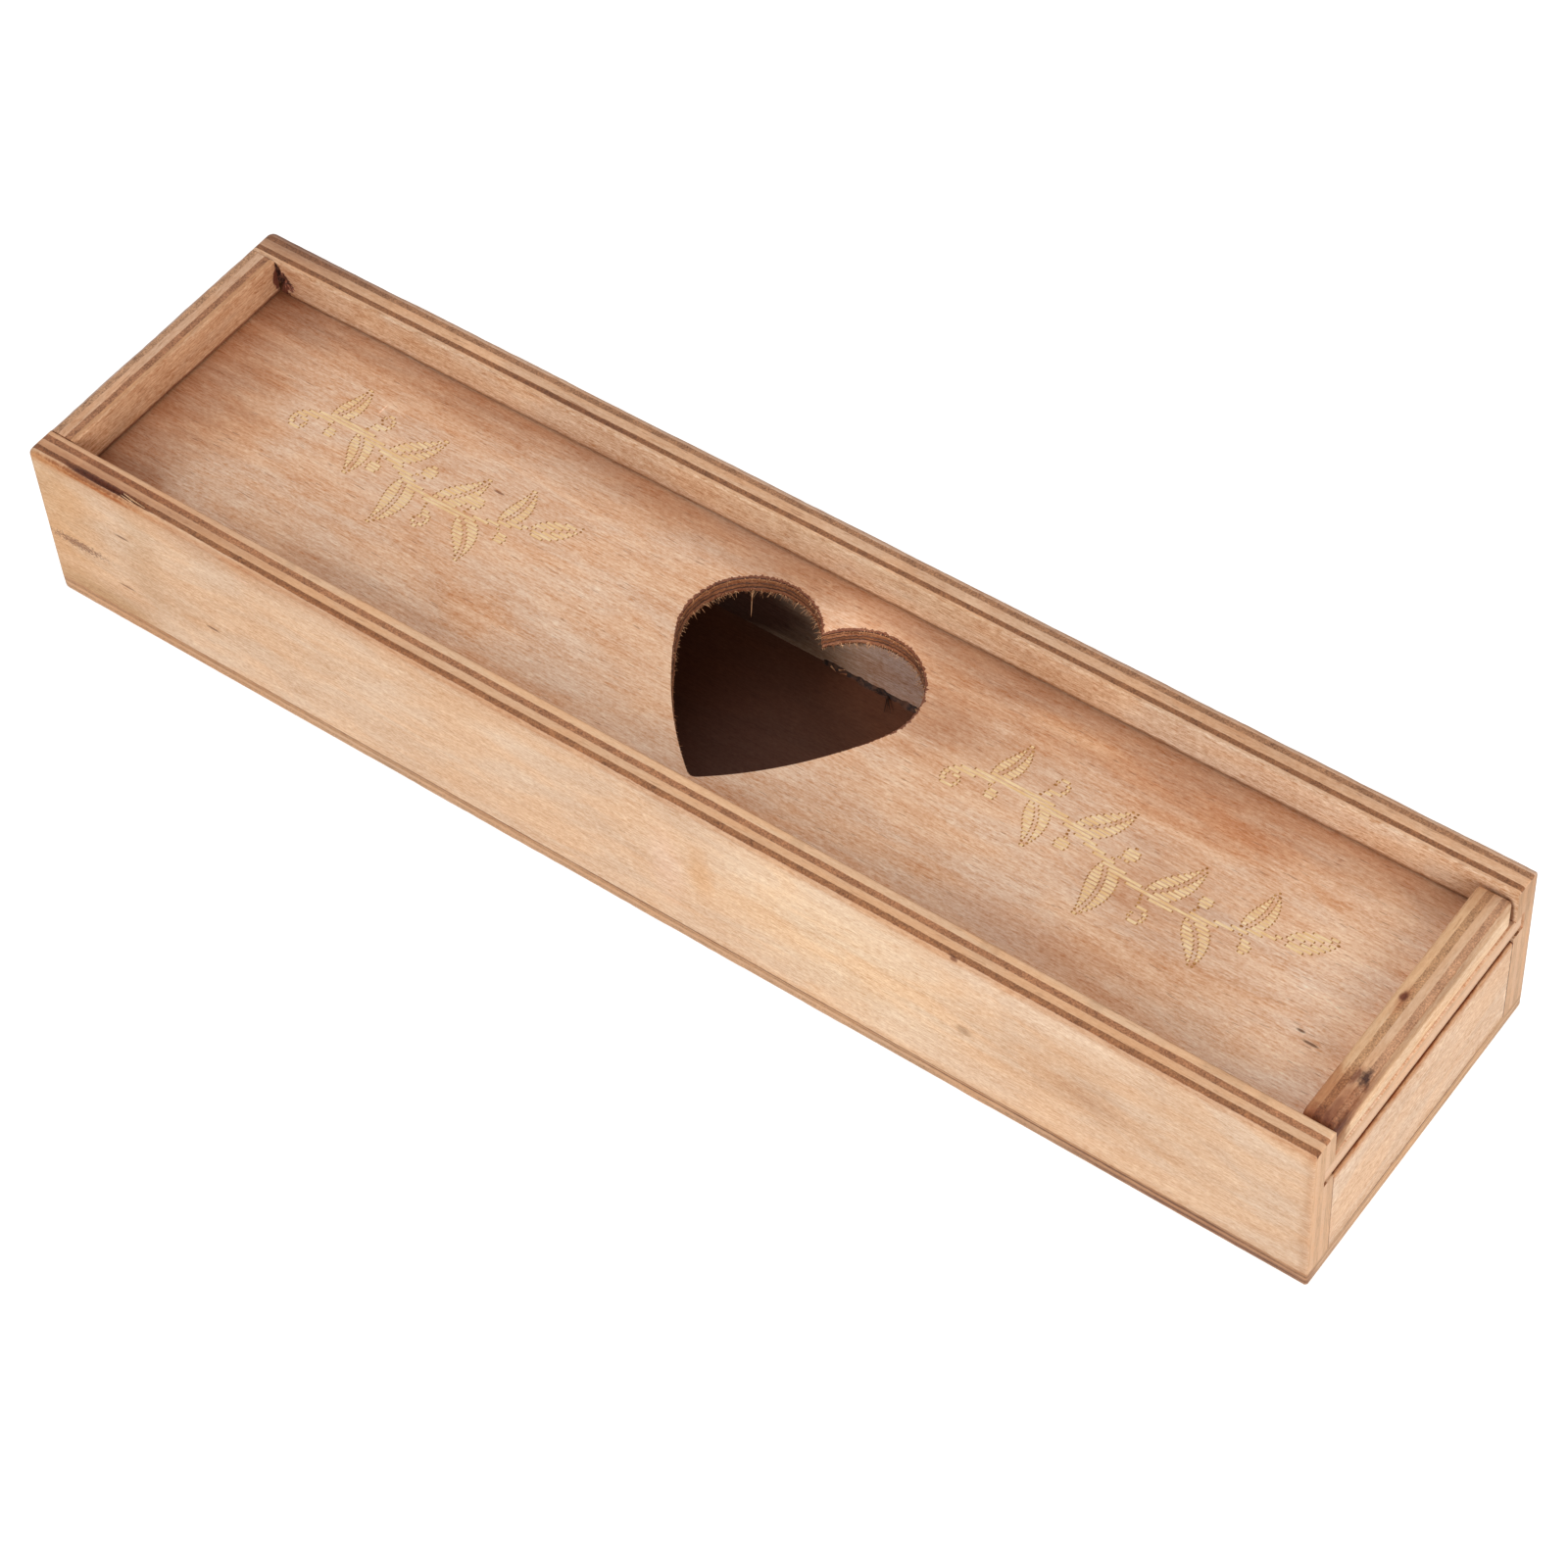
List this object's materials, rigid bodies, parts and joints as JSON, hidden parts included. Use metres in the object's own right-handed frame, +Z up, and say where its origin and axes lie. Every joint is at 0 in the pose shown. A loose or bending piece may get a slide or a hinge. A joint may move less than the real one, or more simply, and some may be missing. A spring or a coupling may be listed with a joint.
{
  "type": "slide lid keepsake box",
  "caption": "Long shallow plywood box with a lid that slides out of grooves at one end, a heart window in the lid and a glued finger strip.",
  "frame": {"origin": "middle of the footprint, on the underside of the bottom panel", "axes": "+X along the length towards the end where the lid slides out, +Y towards the back side, +Z up"},
  "size_m": [0.22, 0.055, 0.03],
  "materials": {
    "side_boards": "bare sanded plywood, light honey face veneer with brown layers on its edges",
    "end_boards": "bare sanded plywood, light honey face veneer with brown layers on its edges",
    "bottom": "bare thin plywood, tan edges",
    "lid": "bare thin plywood with a darker brown face veneer and pale engraving",
    "strip": "bare plywood on edge, its layers showing on top, one end scorched"
  },
  "bodies": {
    "box": {"front_side": "side_boards", "back_side": "side_boards", "far_end": "end_boards", "near_end": "end_boards", "bottom_panel": "bottom"},
    "lid": {"lid_panel": "lid", "lid_strip": "strip"}
  },
  "joints": [
    {"name": "lid_slide", "type": "slide", "parent": "box", "child": "lid", "axis": [1, 0, 0], "range_m": [0, 0.22]}
  ]
}
